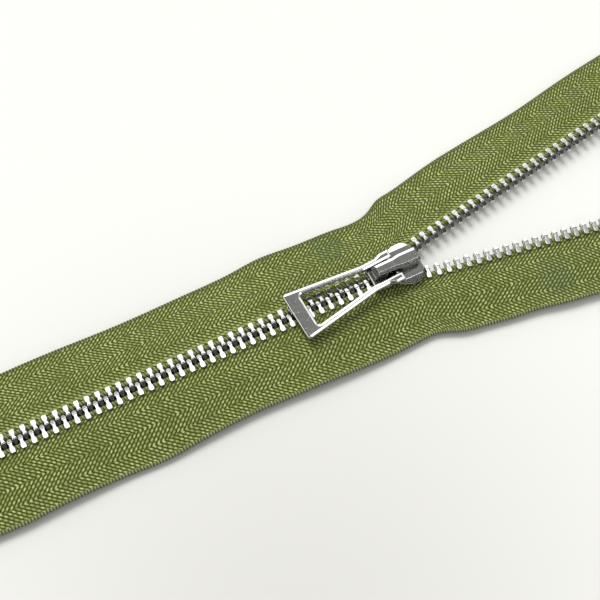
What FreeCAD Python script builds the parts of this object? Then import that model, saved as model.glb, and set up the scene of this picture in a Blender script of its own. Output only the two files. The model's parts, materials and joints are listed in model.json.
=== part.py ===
import FreeCAD, Part
import math
import os

import Sketcher

# A metal zipper, half open. X runs along the chain towards the open end, Y across it and Z up.
# The origin is on the flat underside of the slider, below the centre line of the chain.
# Every right-hand part is drawn as a left-hand one and turned half a turn about X.

doc = FreeCAD.newDocument("zipper")

SIZES = {
    # the chain: its pitch line is where the two rows meet when closed
    "tooth_pitch": 2.15,
    "chain_height": 1.95,
    "teeth_behind": 45,
    "teeth_ahead": 32,
    "teeth_inside": 6,
    "first_tooth": 1.125,
    "bend_start": -3.6,
    "bend_radius": 16,
    "mouth_angle": 20,
    "mouth_straight": 3,
    "relax_radius": 12,
    "left_open_angle": 9.6,
    "right_open_angle": 9.0,
    # one tooth, measured outwards from the pitch line
    "head_reach": 0.75,
    "head_width": 0.96,
    "head_corner": 0.2,
    "head_end": 0.35,
    "neck_width": 0.74,
    "neck_start": 0.6,
    "neck_end": 0.85,
    "leg_start": 1.3,
    "leg_width": 1.14,
    "leg_end": 2.25,
    "leg_corner": 0.2,
    "tooth_height": 1.9,
    "slope_start": 0.35,
    "nose_length": 0.9,
    "nose_drop": 0.5,
    "leg_end_height": 1.36,
    "tooth_rounding": 0.16,
    "jaw_gap": 0.56,
    "dimple_radius": 0.42,
    "dimple_depth": 0.2,
    "bump_height": 0.14,
    # the tapes and the cord woven into each tape's inner edge
    "cord_offset": 1.35,
    "cord_width": 1.16,
    "cord_hole": 1.2,
    "tape_inner": 1.8,
    "tape_step": 6.6,
    "tape_outer": 14.4,
    "tape_thickness": 0.5,
    "margin_thickness": 0.42,
    "step_bend": 16,
    "outer_bend": 26,
    "tape_start": -118,
    "tape_end": 93.5,
    # the stops
    "bottom_stop_at": -98.4,
    "bottom_stop_length": 3.4,
    "bottom_stop_width": 4.5,
    "bottom_stop_height": 2,
    "top_stop_at": 72.5,
    "top_stop_length": 3,
    "top_stop_inner": 0.4,
    "top_stop_outer": 2.35,
    "top_stop_height": 2.3,
    "stop_rounding": 0.3,
    # the slider's body
    "plate_thickness": 0.9,
    "plate_gap": 2.1,
    "slider_height": 3.9,
    "body_rear": -5.6,
    "body_front": 5.4,
    "waist_width": 6.3,
    "waist_start": -1.2,
    "rear_corner": 0.7,
    "shoulder_width": 9.2,
    "ear_front": 3.65,
    "ear_rear": 1.7,
    "front_width": 4.2,
    "flange_rise": 0.6,
    "flange_inner": 2.42,
    "flange_end": 1.7,
    "plate_corner": 0.6,
    "plate_rounding": 0.25,
    "ear_slope_start": 3.3,
    "ear_drop": 0.47,
    "post_nose": 2.35,
    "post_end": 4.9,
    "post_width": 2,
    "pin_hole_at": 2.2,
    "pin_hole_side": 0.5,
    "pin_hole_length": 1,
    "pin_hole_width": 0.9,
    "overlap": 0.1,
    # the crown that covers the lock spring
    "crown_rear": -5,
    "crown_front": 5.5,
    "crown_rear_width": 2.3,
    "crown_front_width": 3,
    "crown_top": 6.2,
    "crown_roof": 0.45,
    "crown_wall": 0.42,
    "crown_slope_width": 0.62,
    "crown_slope": 20,
    "crown_end_slope": 0.8,
    "crown_end_drop": 1,
    "crown_rounding": 0.2,
    "arch_rear": -2.5,
    "arch_front": 0.3,
    "arch_top": 5.3,
    # the lock spring
    "spring_width": 1.1,
    "spring_arch": 5.19,
    "spring_front": 4.75,
    "spring_thickness": 0.2,
    "spring_roll_at": -3.5,
    "spring_roll_height": 4.4,
    "spring_roll_radius": 0.3,
    "pin_tip_height": 2.5,
    "pin_width": 0.6,
    # the puller, measured from its pivot
    "pivot_at": -0.45,
    "pivot_height": 4.7,
    "pivot_bar_width": 0.84,
    "puller_reach": 22.45,
    "puller_bar": 3.1,
    "puller_thickness": 1.1,
    "puller_end_width": 10.8,
    "puller_neck_width": 6.3,
    "puller_foot_width": 7.3,
    "window_end_width": 7.3,
    "window_neck_width": 3.7,
    "neck_rear": -5.75,
    "neck_front": -2.65,
    "foot_rear": -1.25,
    "foot_front": 0.74,
    "puller_sag": 2.7,
    "puller_slope_width": 0.56,
    "puller_slope": 15,
    "puller_rounding": 0.22,
    "puller_corner": 0.6,
    "window_corner": 0.5,
    "puller_skew": 3,
}

sheet = doc.addObject("Spreadsheet::Sheet", "Sizes")
for row, (name, value) in enumerate(SIZES.items(), start=1):
    sheet.set(f"A{row}", name)
    sheet.set(f"B{row}", str(value))
    sheet.setAlias(f"B{row}", name)
doc.recompute()


def expression(text):
    """An expression in which each size's own name stands for its cell."""
    words = []
    for word in text.replace("(", " ( ").replace(")", " ) ").split():
        words.append("Sizes." + word if word in SIZES else word)
    return " ".join(words)


def number(text):
    """What an expression comes to now, in mm or degrees."""
    return float(sheet.evalExpression(expression(text)))


def new_body(label):
    body = doc.addObject("PartDesign::Body", label)
    body.Label = label
    return body


def new_sketch(body, name, plane="XY_Plane", lift=None):
    """A sketch on one of the body's own planes, lifted off it along the plane's normal by an expression."""
    sketch = body.newObject("Sketcher::SketchObject", name)
    support = next(o for o in body.Origin.OriginFeatures if o.Role == plane)
    sketch.AttachmentSupport = [(support, "")]
    sketch.MapMode = "FlatFace"
    if lift:
        sketch.setExpression("AttachmentOffset.Base.z", expression(lift))
    doc.recompute()
    return sketch


def drive(sketch, kind, *where, by, angle=False):
    """Adds a dimension that an expression drives."""
    value = math.radians(number(by)) if angle else number(by)
    index = sketch.addConstraint(Sketcher.Constraint(kind, *where, value))
    text = f"( {expression(by)} ) * 1 deg" if angle else expression(by)
    sketch.setExpression(f"Constraints[{index}]", text)


def hold(sketch, line, x, y):
    """Fixes the start of a line at a place given by two expressions."""
    for kind, text, axis in (("DistanceX", x, -2), ("DistanceY", y, -1)):
        if text == "0":
            sketch.addConstraint(Sketcher.Constraint("PointOnObject", line, 1, axis))
        else:
            drive(sketch, kind, line, 1, by=text)


def outline(sketch, corners):
    """A closed outline of straight sides through corners, each a pair of expressions."""
    points = [FreeCAD.Vector(number(x), number(y), 0) for x, y in corners]
    first = sketch.GeometryCount
    for here, there in zip(points, points[1:] + points[:1]):
        sketch.addGeometry(Part.LineSegment(here, there))
    for n in range(len(points)):
        after = (n + 1) % len(points)
        sketch.addConstraint(Sketcher.Constraint("Coincident", first + n, 2, first + after, 1))
    for n, (x, y) in enumerate(corners):
        hold(sketch, first + n, x, y)


def box(near_x, far_x, near_y, far_y):
    """The corners of a rectangle."""
    return [(near_x, near_y), (far_x, near_y), (far_x, far_y), (near_x, far_y)]


def mirrored(corners):
    """Corners on the +Y side, front to back, followed by their mirror images."""
    return corners + [(x, f"0 - ( {y} )") for x, y in reversed(corners)]


def circle(sketch, x, y, diameter):
    centre = FreeCAD.Vector(number(x), number(y), 0)
    n = sketch.addGeometry(Part.Circle(centre, FreeCAD.Vector(0, 0, 1), number(diameter) / 2))
    for kind, text, axis in (("DistanceX", x, -2), ("DistanceY", y, -1)):
        if text == "0":
            sketch.addConstraint(Sketcher.Constraint("PointOnObject", n, 3, axis))
        else:
            drive(sketch, kind, n, 3, by=text)
    drive(sketch, "Diameter", n, by=diameter)


def pad(body, sketch, length, midplane=False, reverse=False):
    feature = body.newObject("PartDesign::Pad", sketch.Name + "_pad")
    feature.Profile = sketch
    feature.setExpression("Length", expression(length))
    feature.Reversed = reverse
    if midplane:
        feature.SideType = "Symmetric"
    doc.recompute()
    return feature


def cut(body, sketch, length, midplane=False, reverse=False):
    """A pocket, checked to have taken something away."""
    before = body.Shape.Volume
    feature = body.newObject("PartDesign::Pocket", sketch.Name + "_cut")
    feature.Profile = sketch
    feature.setExpression("Length", expression(length))
    feature.Reversed = reverse
    if midplane:
        feature.SideType = "Symmetric"
    doc.recompute()
    if body.Shape.Volume > before - 1e-4:
        raise ValueError(f"{feature.Label} of {body.Label} cuts nothing")
    return feature


def dress_edges(body, wanted, kind, size_name, size):
    """Adds a fillet or chamfer to the edges of the body's last feature for which wanted(edge) is true."""
    base = body.Tip
    names = [f"Edge{n}" for n, e in enumerate(base.Shape.Edges, start=1) if wanted(e)]
    if not names:
        raise ValueError(f"{body.Label} has no such edge to dress")
    feature = body.newObject("PartDesign::" + kind, f"{base.Name}_{kind.lower()}")
    feature.Base = (base, names)
    feature.setExpression(size_name, expression(size))
    return feature


def round_edges(body, wanted, radius):
    """Rounds the edges for which wanted(edge) is true."""
    dress_edges(body, wanted, "Fillet", "Radius", radius)
    doc.recompute()


def slope_edges(body, wanted, width, angle):
    """Slopes the rim of a flat face down towards its edges, over a width and at an angle."""
    feature = dress_edges(body, wanted, "Chamfer", "Size", width)
    feature.ChamferType = "Distance and Angle"
    feature.setExpression("Angle", expression(angle))
    feature.FlipDirection = True
    doc.recompute()


def upright(edge):
    """Is the edge straight and parallel to Z?"""
    ends = [v.Point for v in edge.Vertexes]
    return len(ends) == 2 and math.hypot(ends[0].x - ends[1].x, ends[0].y - ends[1].y) < 1e-6


def level(edge, height):
    """Does the edge lie at one height?"""
    return abs(edge.BoundBox.ZMin - height) < 1e-6 and abs(edge.BoundBox.ZMax - height) < 1e-6


def clear_of(edge, height):
    """Does the edge lie at least as far from the XY plane as a height, above or below it?"""
    return min(abs(v.Point.z) for v in edge.Vertexes) > number(height) - 0.01


def place(body, x="0", z="0"):
    for axis, text in (("x", x), ("z", z)):
        body.setExpression(f".Placement.Base.{axis}", expression(text))


# ---- the pitch line: straight, a bend into the slider's mouth, a straight, and a bend back to the open angle


def arc_length(radius, angle):
    return f"( {radius} ) * ( {angle} ) * pi / 180"


def pitch_line(distance, open_angle):
    """Where a row's pitch line is at a distance along it, counted from x = 0: x, y and heading in degrees."""
    mouth, leaving = number("mouth_angle"), number(open_angle)
    radius, relax = number("bend_radius"), number("relax_radius")
    x, y, heading = min(distance, number("bend_start")), 0.0, 0.0
    left = max(distance - number("bend_start"), 0.0)
    stretches = (
        (radius * math.radians(mouth), mouth, radius),
        (number("mouth_straight"), 0.0, None),
        (relax * math.radians(mouth - leaving), leaving - mouth, relax),
        (math.inf, 0.0, None),
    )
    for length, turn, bend in stretches:
        run = min(left, length)
        if bend is None:
            chord, after = run, heading
        else:
            after = heading + turn * run / length
            chord = 2 * bend * math.sin(math.radians(abs(after - heading)) / 2)
        middle = math.radians((heading + after) / 2)
        x, y, heading, left = x + chord * math.cos(middle), y + chord * math.sin(middle), after, left - run
    return x, y, heading


def spread_edge(sketch, offset, open_angle):
    """A row's pitch line, moved outwards: line, arc, line, arc and line. Returns the first one's number."""
    out, start = number(offset), number("bend_start")
    mouth, leaving = math.radians(number("mouth_angle")), math.radians(number(open_angle))
    radius, relax = number("bend_radius") - out, number("relax_radius") + out
    up = FreeCAD.Vector(0, 0, 1)
    a = FreeCAD.Vector(number("tape_start"), out, 0)
    b = FreeCAD.Vector(start, out, 0)
    centre = b + FreeCAD.Vector(0, radius, 0)
    c = centre + FreeCAD.Vector(math.sin(mouth), -math.cos(mouth), 0) * radius
    d = c + FreeCAD.Vector(math.cos(mouth), math.sin(mouth), 0) * number("mouth_straight")
    back = d + FreeCAD.Vector(math.sin(mouth), -math.cos(mouth), 0) * relax
    e = back + FreeCAD.Vector(-math.sin(leaving), math.cos(leaving), 0) * relax
    last = (
        "tape_end - bend_start - mouth_straight"
        f" - {arc_length('bend_radius', 'mouth_angle')}"
        f" - {arc_length('relax_radius', 'mouth_angle - ' + open_angle)}"
    )
    f = e + FreeCAD.Vector(math.cos(leaving), math.sin(leaving), 0) * number(last)
    quarter = math.pi / 2
    n = sketch.addGeometry(Part.LineSegment(a, b))
    sketch.addGeometry(Part.ArcOfCircle(Part.Circle(centre, up, radius), -quarter, mouth - quarter))
    sketch.addGeometry(Part.LineSegment(c, d))
    sketch.addGeometry(Part.ArcOfCircle(Part.Circle(back, up, relax), leaving + quarter, mouth + quarter))
    sketch.addGeometry(Part.LineSegment(e, f))
    joined = ((n, 2, n + 1, 1), (n + 1, 2, n + 2, 1), (n + 2, 2, n + 3, 2), (n + 3, 1, n + 4, 1))
    for first, end, second, beginning in joined:
        sketch.addConstraint(Sketcher.Constraint("Tangent", first, end, second, beginning))
    hold(sketch, n, "tape_start", offset)
    sketch.addConstraint(Sketcher.Constraint("Horizontal", n))
    drive(sketch, "DistanceX", n, 2, by="bend_start")
    drive(sketch, "Radius", n + 1, by=f"bend_radius - {offset}")
    drive(sketch, "Distance", n + 2, by="mouth_straight")
    drive(sketch, "Angle", n + 2, by="mouth_angle", angle=True)
    drive(sketch, "Radius", n + 3, by=f"relax_radius + {offset}")
    drive(sketch, "Angle", n + 4, by=open_angle, angle=True)
    drive(sketch, "Distance", n + 4, by=last)
    return n


def band(sketch, inner, outer, bend, open_angle):
    """A tape's outline between two distances from the pitch line. Its outer edge turns once, round a bend."""
    n = spread_edge(sketch, inner, open_angle)
    leaving = math.radians(number(open_angle))
    along = FreeCAD.Vector(math.cos(leaving), math.sin(leaving), 0)
    across = FreeCAD.Vector(-math.sin(leaving), math.cos(leaving), 0)
    inner_start = sketch.Geometry[n].StartPoint
    inner_end = sketch.Geometry[n + 4].EndPoint
    wide, far, radius = number(f"{outer} - {inner}"), number(outer), number(bend)
    outer_end = inner_end + across * wide
    corner = outer_end - along * ((outer_end.y - far) / math.sin(leaving))
    tangent = radius * math.tan(leaving / 2)
    turn_end = corner + along * tangent
    turn_start = corner - FreeCAD.Vector(tangent, 0, 0)
    outer_start = FreeCAD.Vector(inner_start.x, far, 0)
    centre = turn_start + FreeCAD.Vector(0, radius, 0)
    quarter = math.pi / 2
    sketch.addGeometry(Part.LineSegment(inner_end, outer_end))
    sketch.addGeometry(Part.LineSegment(outer_end, turn_end))
    sketch.addGeometry(
        Part.ArcOfCircle(Part.Circle(centre, FreeCAD.Vector(0, 0, 1), radius), -quarter, leaving - quarter)
    )
    sketch.addGeometry(Part.LineSegment(turn_start, outer_start))
    sketch.addGeometry(Part.LineSegment(outer_start, inner_start))
    joined = ((n + 4, 2, n + 5, 1), (n + 5, 2, n + 6, 1), (n + 8, 2, n + 9, 1), (n + 9, 2, n, 1))
    for first, end, second, beginning in joined:
        sketch.addConstraint(Sketcher.Constraint("Coincident", first, end, second, beginning))
    sketch.addConstraint(Sketcher.Constraint("Tangent", n + 6, 2, n + 7, 2))
    sketch.addConstraint(Sketcher.Constraint("Tangent", n + 7, 1, n + 8, 1))
    sketch.addConstraint(Sketcher.Constraint("Perpendicular", n + 5, n + 4))
    sketch.addConstraint(Sketcher.Constraint("Perpendicular", n + 6, n + 5))
    sketch.addConstraint(Sketcher.Constraint("Horizontal", n + 8))
    sketch.addConstraint(Sketcher.Constraint("Vertical", n + 9))
    drive(sketch, "Distance", n + 5, by=f"{outer} - {inner}")
    drive(sketch, "Distance", n + 9, by=f"{outer} - {inner}")
    drive(sketch, "Radius", n + 7, by=bend)


def turn_over(body):
    """Turns a part half a turn about X, which makes a left-hand part right-hand."""
    body.Placement = FreeCAD.Placement(FreeCAD.Vector(), FreeCAD.Rotation(FreeCAD.Vector(1, 0, 0), 180))


def tape(label, open_angle, right=False):
    """A woven tape: a thicker band beside the chain and a thinner sewing margin outside it."""
    body = new_body(label)
    whole = new_sketch(body, label + "_whole")
    band(whole, "tape_inner", "tape_outer", "outer_bend", open_angle)
    pad(body, whole, "margin_thickness", midplane=True)
    inner = new_sketch(body, label + "_inner")
    band(inner, "tape_inner", "tape_step", "step_bend", open_angle)
    pad(body, inner, "tape_thickness", midplane=True)
    if right:
        turn_over(body)
    place(body, z="chain_height")
    return body


def cord(label, open_angle, right=False):
    """The cord along a tape's inner edge, which the teeth grip."""
    body = new_body(label)
    path = new_sketch(body, label + "_path")
    spread_edge(path, "cord_offset", open_angle)
    section = new_sketch(body, label + "_section", plane="YZ_Plane", lift="tape_start")
    circle(section, "cord_offset", "0", "cord_width")
    pipe = body.newObject("PartDesign::AdditivePipe", label + "_pipe")
    pipe.Profile = section
    pipe.Spine = path
    doc.recompute()
    if right:
        turn_over(body)
    place(body, z="chain_height")
    return body


def tooth_form():
    """One left-hand tooth at the origin: the head reaches over the pitch line, and two legs grip the cord."""
    body = new_body("tooth_form")
    plan = new_sketch(body, "tooth_plan")
    head, neck, leg = "head_width / 2", "neck_width / 2", "leg_width / 2"
    right_side = [
        (f"{head} - head_corner", "0 - head_reach"),
        (head, "1.5 * head_corner - head_reach"),
        (head, "head_end"),
        (neck, "neck_start"),
        (neck, "neck_end"),
        (leg, "leg_start"),
        (leg, "leg_end - 1.5 * leg_corner"),
        (f"{leg} - leg_corner", "leg_end"),
    ]
    left_side = [(f"0 - ( {x} )", y) for x, y in reversed(right_side)]
    outline(plan, right_side + left_side)
    pad(body, plan, "tooth_height", midplane=True)
    past_leg, nose_end = "leg_end + overlap", "nose_length - head_reach"
    for side, flip in (("top", ""), ("bottom", "0 - ")):
        high, above = f"{flip}( tooth_height / 2 )", f"{flip}( tooth_height )"
        low, nose = f"{flip}( leg_end_height / 2 )", f"{flip}( tooth_height / 2 - nose_drop )"
        slope = new_sketch(body, f"tooth_{side}", plane="YZ_Plane")
        outline(slope, [("slope_start", high), (past_leg, low), (past_leg, above), ("slope_start", above)])
        cut(body, slope, "2 * leg_width", midplane=True)
        tip = new_sketch(body, f"tooth_{side}_nose", plane="YZ_Plane")
        nose_tip = "0 - head_reach"
        outline(tip, [(nose_end, high), (nose_tip, nose), (nose_tip, above), (nose_end, above)])
        cut(body, tip, "2 * leg_width", midplane=True)
    flank = "tooth_height / 2 - nose_drop"
    round_edges(body, lambda e: not upright(e) and clear_of(e, flank), "tooth_rounding")
    jaws = new_sketch(body, "tooth_jaws", plane="YZ_Plane")
    circle(jaws, "cord_offset", "0", "cord_hole")
    cut(body, jaws, "2 * leg_width", midplane=True)
    slot = new_sketch(body, "tooth_slot", plane="YZ_Plane")
    outline(slot, box("cord_offset", past_leg, "0 - jaw_gap / 2", "jaw_gap / 2"))
    cut(body, slot, "2 * leg_width", midplane=True)
    dimple(body)
    return body


def dimple(body):
    """The hollow behind each head and the bump before it, which nest in their neighbours."""
    for name, kind, face, depth in (
        ("tooth_dimple", "SubtractiveEllipsoid", "0 - head_width / 2", "dimple_depth"),
        ("tooth_bump", "AdditiveEllipsoid", "head_width / 2", "bump_height"),
    ):
        ball = body.newObject("PartDesign::" + kind, name)
        ball.setExpression("Radius1", expression(depth))
        ball.setExpression("Radius2", expression("dimple_radius"))
        ball.setExpression("Radius3", expression("dimple_radius"))
        support = next(o for o in body.Origin.OriginFeatures if o.Role == "YZ_Plane")
        ball.AttachmentSupport = [(support, "")]
        ball.MapMode = "FlatFace"
        ball.setExpression("AttachmentOffset.Base.z", expression(face))
        doc.recompute()


def standing(distance, open_angle, right):
    """Where a part gripping the cord stands: at a distance along its row's pitch line, turned with it."""
    x, y, heading = pitch_line(distance, open_angle)
    side = -1 if right else 1
    spot = FreeCAD.Placement(
        FreeCAD.Vector(x, side * y, number("chain_height")),
        FreeCAD.Rotation(FreeCAD.Vector(0, 0, 1), side * heading),
    )
    if right:
        spot = spot * FreeCAD.Placement(FreeCAD.Vector(), FreeCAD.Rotation(FreeCAD.Vector(1, 0, 0), 180))
    return spot


def teeth_row(label, form, first, count, open_angle, right=False):
    """A run of teeth along one row, each a solid of its own. The right row stands half a pitch behind."""
    pitch = number("tooth_pitch")
    teeth = []
    for n in range(first, first + count):
        distance = number("first_tooth") + (n - 0.5 * right) * pitch
        one = form.Shape.copy()
        one.Placement = standing(distance, open_angle, right)
        teeth.append(one)
    row = doc.addObject("Part::Feature", label)
    row.Label = label
    row.Shape = Part.makeCompound(teeth)
    return row


def cut_grip(body, name, side, length):
    """Cuts the cord's hole and the tape's slot through a stop, on the side that side's sign says."""
    hole = new_sketch(body, name + "_hole", plane="YZ_Plane", lift="0 - overlap")
    circle(hole, f"{side}cord_offset", "0", "cord_hole")
    cut(body, hole, f"{length} + 2 * overlap", reverse=True)
    slot = new_sketch(body, name + "_slot", plane="YZ_Plane", lift="0 - overlap")
    outline(slot, box(f"{side}cord_offset", f"{side}( 3 * cord_offset )", "0 - jaw_gap / 2", "jaw_gap / 2"))
    cut(body, slot, f"{length} + 2 * overlap", reverse=True)


def bottom_stop():
    """The staple that holds both tapes together at the closed end."""
    body = new_body("bottom_stop")
    section = new_sketch(body, "bottom_stop_section", plane="YZ_Plane")
    half, rise = "bottom_stop_width / 2", "bottom_stop_height / 2"
    outline(section, box(f"0 - {half}", half, f"0 - {rise}", rise))
    pad(body, section, "bottom_stop_length")
    round_edges(body, lambda e: True, "stop_rounding")
    cut_grip(body, "bottom_stop_left", "", "bottom_stop_length")
    cut_grip(body, "bottom_stop_right", "0 - ", "bottom_stop_length")
    place(body, x="bottom_stop_at - bottom_stop_length", z="chain_height")
    return body


def top_stop(label, open_angle, right=False):
    """The clamp round one cord at the open end, which the slider can't pass."""
    body = new_body(label)
    section = new_sketch(body, label + "_section", plane="YZ_Plane")
    rise = "top_stop_height / 2"
    outline(section, box("top_stop_inner", "top_stop_outer", f"0 - {rise}", rise))
    pad(body, section, "top_stop_length")
    round_edges(body, lambda e: True, "stop_rounding")
    cut_grip(body, label, "", "top_stop_length")
    body.Placement = standing(number("top_stop_at"), open_angle, right)
    return body


def plate_outline():
    """A slider plate seen from above: a waist at the closed side and shoulders at the open side."""
    waist, shoulder = "waist_width / 2", "shoulder_width / 2"
    return mirrored(
        [
            ("body_front", "front_width / 2"),
            ("( body_front + ear_front ) / 2", f"{shoulder} - rear_corner"),
            ("ear_front", shoulder),
            ("ear_rear", shoulder),
            ("waist_start + 1.1", f"{shoulder} - rear_corner"),
            ("waist_start", waist),
            ("body_rear + rear_corner", waist),
            ("body_rear", f"{waist} - rear_corner"),
        ]
    )


def flange_outline(side):
    """One flange seen from above: it holds the teeth in until they spread past its end."""
    corners = [
        ("body_rear + 0.5", "flange_inner + 0.15"),
        ("body_rear + 1", "flange_inner"),
        ("0 - 2.2", "flange_inner"),
        ("0 - 1.1", "flange_inner + 0.16"),
        ("0.4", "flange_inner + 0.55"),
        ("flange_end", "flange_inner + 0.98"),
        ("flange_end", "shoulder_width / 2 - 0.15"),
        ("0", "shoulder_width / 2 - 0.95"),
        ("waist_start", "waist_width / 2 - 0.05"),
        ("body_rear + rear_corner", "waist_width / 2"),
    ]
    return [(x, f"{side}( {y} )") for x, y in corners]


def post_outline():
    """The wedge between the plates that parts the two rows."""
    return mirrored(
        [
            ("post_end", "post_width / 2 - 0.35"),
            ("post_end - 0.4", "post_width / 2"),
            ("post_end - 0.9", "post_width / 2 - 0.08"),
            ("post_nose", "0.1"),
        ]
    )


def slider_body():
    """The slider's casting: two plates, four flanges and the post between them."""
    body = new_body("slider_body")
    lower = new_sketch(body, "lower_plate")
    outline(lower, plate_outline())
    pad(body, lower, "plate_thickness")
    post = new_sketch(body, "post", lift="plate_thickness - overlap")
    outline(post, post_outline())
    pad(body, post, "plate_gap + 2 * overlap")
    upper = new_sketch(body, "upper_plate", lift="slider_height - plate_thickness")
    outline(upper, plate_outline())
    pad(body, upper, "plate_thickness")
    past_post = number("post_width / 2") + 0.01
    round_edges(body, lambda e: upright(e) and abs(e.Vertexes[0].Point.y) > past_post, "plate_corner")
    for name, side in (("left", ""), ("right", "0 - ")):
        slope = new_sketch(body, f"{name}_ear_slope", plane="YZ_Plane")
        start, end = f"{side}( ear_slope_start )", f"{side}( shoulder_width / 2 )"
        outline(
            slope,
            [
                (start, "slider_height"),
                (end, "slider_height - ear_drop"),
                (end, "slider_height + 1"),
                (start, "slider_height + 1"),
            ],
        )
        cut(body, slope, "3 * body_front", midplane=True)
    round_edges(body, lambda e: level(e, 0) or clear_of(e, "slider_height - ear_drop"), "plate_rounding")
    for name, base, rise in (
        ("low", "plate_thickness - overlap", "flange_rise + overlap"),
        ("high", "slider_height - plate_thickness - flange_rise", "flange_rise + overlap"),
    ):
        for hand, side in (("left", ""), ("right", "0 - ")):
            sketch = new_sketch(body, f"{name}_{hand}_flange", lift=base)
            outline(sketch, flange_outline(side))
            pad(body, sketch, rise)
    hole = new_sketch(body, "pin_hole", lift="slider_height - plate_thickness - overlap")
    rear, front = "pin_hole_at - pin_hole_length / 2", "pin_hole_at + pin_hole_length / 2"
    near, far = "pin_hole_side - pin_hole_width / 2", "pin_hole_side + pin_hole_width / 2"
    outline(hole, box(rear, front, near, far))
    cut(body, hole, "plate_thickness + 3 * overlap", reverse=True)
    return body


def crown_cap():
    """The hollow crown on the top plate. The puller's pivot bar passes through its side openings."""
    body = new_body("crown_cap")
    plan = new_sketch(body, "crown_plan", lift="slider_height")
    outline(
        plan,
        mirrored(
            [
                ("crown_front", "crown_front_width / 2 - 0.75"),
                ("crown_front - 0.8", "crown_front_width / 2"),
                ("1", "crown_front_width / 2"),
                ("0 - 0.4", "crown_rear_width / 2 + 0.12"),
                ("crown_rear", "crown_rear_width / 2"),
            ]
        ),
    )
    pad(body, plan, "crown_top - slider_height")
    top = number("crown_top")
    slope_edges(body, lambda e: level(e, top), "crown_slope_width", "crown_slope")
    shoulder = top - number("crown_slope_width") * math.tan(math.radians(number("crown_slope")))
    round_edges(body, lambda e: level(e, shoulder) or upright(e), "crown_rounding")
    low, above = "crown_top - crown_end_drop", "crown_top + crown_end_drop"
    for end, inward in (("crown_rear", "+"), ("crown_front", "-")):
        rim = f"{end} {inward} crown_end_slope"
        slope = new_sketch(body, f"{end}_slope", plane="XZ_Plane")
        outline(slope, [(end, low), (rim, "crown_top"), (rim, above), (end, above)])
        cut(body, slope, "2 * crown_front_width", midplane=True)
    hollow = new_sketch(body, "crown_hollow", lift="slider_height - overlap")
    rear_side, front_side = "crown_rear_width / 2 - crown_wall", "crown_front_width / 2 - crown_wall"
    outline(
        hollow,
        mirrored(
            [
                ("crown_front - 1", front_side),
                ("1", front_side),
                ("0 - 0.4", f"{rear_side} + 0.12"),
                ("crown_rear + crown_end_slope", rear_side),
            ]
        ),
    )
    cut(body, hollow, "crown_top - crown_roof - slider_height + overlap", reverse=True)
    arch = new_sketch(body, "crown_arch", plane="XZ_Plane")
    outline(
        arch,
        [
            ("arch_rear", "slider_height - overlap"),
            ("arch_front", "slider_height - overlap"),
            ("arch_front", "arch_top - 0.3"),
            ("arch_front - 0.3", "arch_top"),
            ("arch_rear + 0.3", "arch_top"),
            ("arch_rear", "arch_top - 0.3"),
        ],
    )
    cut(body, arch, "2 * crown_front_width", midplane=True)
    return body


def lock_spring():
    """The bent leaf in the crown. Its roll is at the rear, and its front end is the locking pin."""
    body = new_body("lock_spring")
    leaf = new_sketch(body, "spring_leaf", plane="XZ_Plane")
    outline(
        leaf,
        [
            ("spring_roll_at", "spring_roll_height + 0.05"),
            ("spring_roll_at + 0.35", "spring_roll_height"),
            ("0 - 2.1", "spring_arch"),
            ("0", "spring_arch"),
            ("0.8", "spring_front"),
            ("pin_hole_at - 0.2", "spring_front - 0.3"),
            ("pin_hole_at - 0.15", "pin_tip_height + 0.15"),
            ("pin_hole_at", "pin_tip_height"),
            ("pin_hole_at + 0.12", "pin_tip_height + 0.15"),
            ("pin_hole_at + 0.12", "spring_front - 0.2"),
            ("0.9", "spring_front + spring_thickness"),
            ("0.05", "spring_arch + spring_thickness"),
            ("0 - 2.2", "spring_arch + spring_thickness"),
        ],
    )
    pad(body, leaf, "spring_width", midplane=True)
    roll = new_sketch(body, "spring_roll", plane="XZ_Plane")
    circle(roll, "spring_roll_at", "spring_roll_height", "2 * spring_roll_radius")
    pad(body, roll, "spring_width", midplane=True)
    trim = new_sketch(body, "pin_side")
    pin_edge = "pin_hole_side - pin_width / 2"
    outline(trim, box("pin_hole_at - 0.25", "pin_hole_at + 0.4", "0 - spring_width", pin_edge))
    cut(body, trim, "spring_front - 0.55", reverse=True)
    return body


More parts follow.
